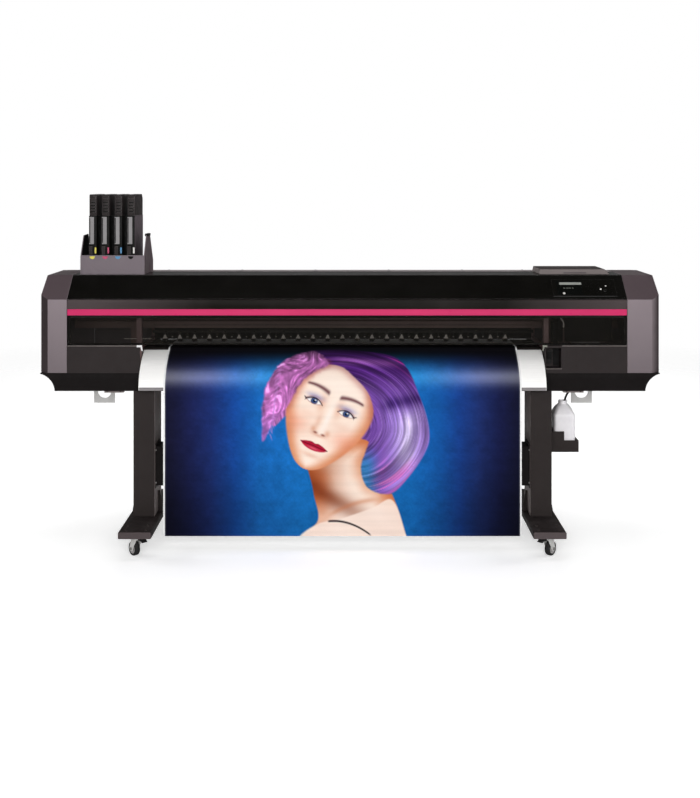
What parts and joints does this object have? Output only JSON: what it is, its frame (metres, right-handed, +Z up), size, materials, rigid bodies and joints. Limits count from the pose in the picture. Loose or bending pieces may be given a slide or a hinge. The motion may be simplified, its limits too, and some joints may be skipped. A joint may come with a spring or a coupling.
{
  "type": "wide-format roll printer",
  "caption": "Wide roll-fed printer with cut-off blade: lifting smoked front cover, ink station, control panel, curved media guide, hanging print and a T-leg stand on casters.",
  "frame": {"origin": "on the floor under the middle of the machine's bounding box", "axes": "+Z up, +X to the right of an operator who faces the front, -Y towards that operator"},
  "size_m": [2.7, 0.9, 1.508],
  "materials": {
    "cover_grey": "fine textured dark grey moulding",
    "panel_dark": "fine textured near-black moulding",
    "base_black": "black textured powder coat",
    "fascia_gloss": "high gloss black",
    "trim_magenta": "satin magenta strip",
    "window_smoke": "clear smoked polycarbonate",
    "guide_aluminium": "white coated ribbed extrusion",
    "steel": "brushed",
    "zinc_plate": "light grey zinc",
    "rail_dark": "black anodised",
    "inner_dark": "black painted sheet",
    "inner_plastic": "black moulded plastic",
    "rubber": "matte",
    "tyre": "hard rubber tread",
    "media_white": "uncoated white film",
    "media_print": "printed film",
    "bottle_white": "translucent white polyethylene",
    "cartridge_black": "black moulded plastic"
  },
  "bodies": {
    "machine": {"base_tray": "base_black", "carriage_belt": "rubber", "carriage_rail": "rail_dark", "control_panel": "fascia_gloss", "fascia_panel": "fascia_gloss", "foot_left": "base_black", "foot_right": "base_black", "front_media_guide": "guide_aluminium", "front_panel_left": "panel_dark", "front_panel_right": "panel_dark", "ink_holder": "cover_grey", "leg_left": "base_black", "leg_right": "base_black", "lifting_rail": "zinc_plate", "maintenance_station": "inner_plastic", "print_platen": "inner_plastic", "printed_media": "media_print", "raised_lid": "cover_grey", "rear_cover": "cover_grey", "rear_media_guide": "inner_dark", "roll_holder_frame": "base_black", "side_cover_left": "cover_grey", "side_cover_right": "cover_grey", "side_frame_left": "rail_dark", "side_frame_right": "rail_dark", "stand_cross_beam": "base_black", "top_cover": "cover_grey", "waste_bottle_holder": "base_black", "waste_tube": "rubber"},
    "front_cover": {"front_cover_frame": "panel_dark", "front_cover_trim": "trim_magenta", "front_cover_window": "window_smoke"},
    "carriage": {"carriage": "inner_plastic", "print_head": "steel"},
    "cutter": {"cutter_holder": "steel"},
    "belt_drive": {"belt_drive_pulley": "steel"},
    "belt_idler": {"belt_idler_pulley": "steel"},
    "cap": {"head_cap": "rubber"},
    "drive_roller": {"drive_roller": "steel"},
    "pinch_unit": {"pinch_roller_unit": "rail_dark"},
    "media_lever": {"media_lever": "inner_plastic"},
    "media_roll": {"media_roll": "media_white", "roll_shaft": "steel"},
    "waste_bottle": {"waste_bottle": "bottle_white"},
    "power_key": {"power_key": "fascia_gloss"},
    "enter_key": {"enter_key": "fascia_gloss"},
    "cartridge_yellow": {"ink_cartridge_yellow": "cartridge_black"},
    "cartridge_magenta": {"ink_cartridge_magenta": "cartridge_black"},
    "cartridge_cyan": {"ink_cartridge_cyan": "cartridge_black"},
    "cartridge_black": {"ink_cartridge_black": "cartridge_black"},
    "caster_front_left": {"caster_yoke_front_left": "steel"},
    "wheel_front_left": {"caster_wheel_front_left": "tyre"},
    "brake_front_left": {"caster_brake_front_left": "inner_plastic"},
    "caster_rear_left": {"caster_yoke_rear_left": "steel"},
    "wheel_rear_left": {"caster_wheel_rear_left": "tyre"},
    "caster_front_right": {"caster_yoke_front_right": "steel"},
    "wheel_front_right": {"caster_wheel_front_right": "tyre"},
    "brake_front_right": {"caster_brake_front_right": "inner_plastic"},
    "caster_rear_right": {"caster_yoke_rear_right": "steel"},
    "wheel_rear_right": {"caster_wheel_rear_right": "tyre"}
  },
  "joints": [
    {"name": "front_cover_hinge", "type": "hinge", "parent": "machine", "child": "front_cover", "pos_m": [0, -0.235, 1.0515], "axis": [-1, 0, 0], "range_deg": [0, 80]},
    {"name": "carriage_travel", "type": "slide", "parent": "machine", "child": "carriage", "axis": [1, 0, 0], "range_m": [-2.05, 0]},
    {"name": "cutter_plunge", "type": "slide", "parent": "carriage", "child": "cutter", "axis": [0, 0, 1], "range_m": [-0.006, 0]},
    {"name": "belt_drive_spin", "type": "hinge", "parent": "machine", "child": "belt_drive", "pos_m": [1.165, 0.052, 1.026], "axis": [0, 1, 0], "continuous": true},
    {"name": "belt_idler_spin", "type": "hinge", "parent": "machine", "child": "belt_idler", "pos_m": [-1.19, 0.052, 1.026], "axis": [0, 1, 0], "continuous": true},
    {"name": "cap_lift", "type": "slide", "parent": "machine", "child": "cap", "axis": [0, 0, 1], "range_m": [-0.012, 0]},
    {"name": "drive_roller_spin", "type": "hinge", "parent": "machine", "child": "drive_roller", "pos_m": [-0.032, 0.005, 0.8295], "axis": [1, 0, 0], "continuous": true},
    {"name": "media_lever_turn", "type": "hinge", "parent": "machine", "child": "media_lever", "pos_m": [0.862, -0.2, 0.785], "axis": [1, 0, 0], "range_deg": [0, 40]},
    {"name": "pinch_lift", "type": "slide", "parent": "machine", "child": "pinch_unit", "axis": [0, 0, 1], "range_m": [0, 0.0035]},
    {"name": "roll_spin", "type": "hinge", "parent": "machine", "child": "media_roll", "pos_m": [-0.032, 0.36, 0.52], "axis": [1, 0, 0], "continuous": true},
    {"name": "cartridge_yellow_lift", "type": "slide", "parent": "machine", "child": "cartridge_yellow", "axis": [0, 0, 1], "range_m": [0, 0.17]},
    {"name": "cartridge_magenta_lift", "type": "slide", "parent": "machine", "child": "cartridge_magenta", "axis": [0, 0, 1], "range_m": [0, 0.17]},
    {"name": "cartridge_cyan_lift", "type": "slide", "parent": "machine", "child": "cartridge_cyan", "axis": [0, 0, 1], "range_m": [0, 0.17]},
    {"name": "cartridge_black_lift", "type": "slide", "parent": "machine", "child": "cartridge_black", "axis": [0, 0, 1], "range_m": [0, 0.17]},
    {"name": "waste_bottle_lift", "type": "slide", "parent": "machine", "child": "waste_bottle", "axis": [0, 0, 1], "range_m": [0, 0.047], "deforming": ["waste_tube"]},
    {"name": "power_key_press", "type": "slide", "parent": "machine", "child": "power_key", "axis": [0, 0.6614, -0.75], "range_m": [0, 0.0006]},
    {"name": "enter_key_press", "type": "slide", "parent": "machine", "child": "enter_key", "axis": [0, 0.6614, -0.75], "range_m": [0, 0.0006]},
    {"name": "caster_front_left_swivel", "type": "hinge", "parent": "machine", "child": "caster_front_left", "pos_m": [-0.89, -0.39, 0.0702], "axis": [0, 0, 1], "continuous": true},
    {"name": "wheel_front_left_spin", "type": "hinge", "parent": "caster_front_left", "child": "wheel_front_left", "pos_m": [-0.90338, -0.37514, 0.03], "axis": [0.7431, 0.6691, 0], "continuous": true},
    {"name": "brake_front_left_press", "type": "hinge", "parent": "caster_front_left", "child": "brake_front_left", "pos_m": [-0.86993, -0.41229, 0.0792], "axis": [0.7431, 0.6691, 0], "range_deg": [0, 10]},
    {"name": "caster_rear_left_swivel", "type": "hinge", "parent": "machine", "child": "caster_rear_left", "pos_m": [-0.89, 0.17, 0.0702], "axis": [0, 0, 1], "continuous": true},
    {"name": "wheel_rear_left_spin", "type": "hinge", "parent": "caster_rear_left", "child": "wheel_rear_left", "pos_m": [-0.90338, 0.18486, 0.03], "axis": [0.7431, 0.6691, 0], "continuous": true},
    {"name": "caster_front_right_swivel", "type": "hinge", "parent": "machine", "child": "caster_front_right", "pos_m": [0.826, -0.39, 0.0702], "axis": [0, 0, 1], "continuous": true},
    {"name": "wheel_front_right_spin", "type": "hinge", "parent": "caster_front_right", "child": "wheel_front_right", "pos_m": [0.83938, -0.37514, 0.03], "axis": [0.7431, -0.6691, 0], "continuous": true},
    {"name": "brake_front_right_press", "type": "hinge", "parent": "caster_front_right", "child": "brake_front_right", "pos_m": [0.80593, -0.41229, 0.0792], "axis": [0.7431, -0.6691, 0], "range_deg": [0, 10]},
    {"name": "caster_rear_right_swivel", "type": "hinge", "parent": "machine", "child": "caster_rear_right", "pos_m": [0.826, 0.17, 0.0702], "axis": [0, 0, 1], "continuous": true},
    {"name": "wheel_rear_right_spin", "type": "hinge", "parent": "caster_rear_right", "child": "wheel_rear_right", "pos_m": [0.83938, 0.18486, 0.03], "axis": [0.7431, -0.6691, 0], "continuous": true}
  ],
  "couplings": [
    {"joint": "belt_drive_spin", "follows": "carriage_travel", "rad_per_m": -64.516},
    {"joint": "belt_idler_spin", "follows": "carriage_travel", "rad_per_m": -64.516},
    {"joint": "pinch_lift", "follows": "media_lever_turn", "m_per_rad": 0.0042972}
  ]
}
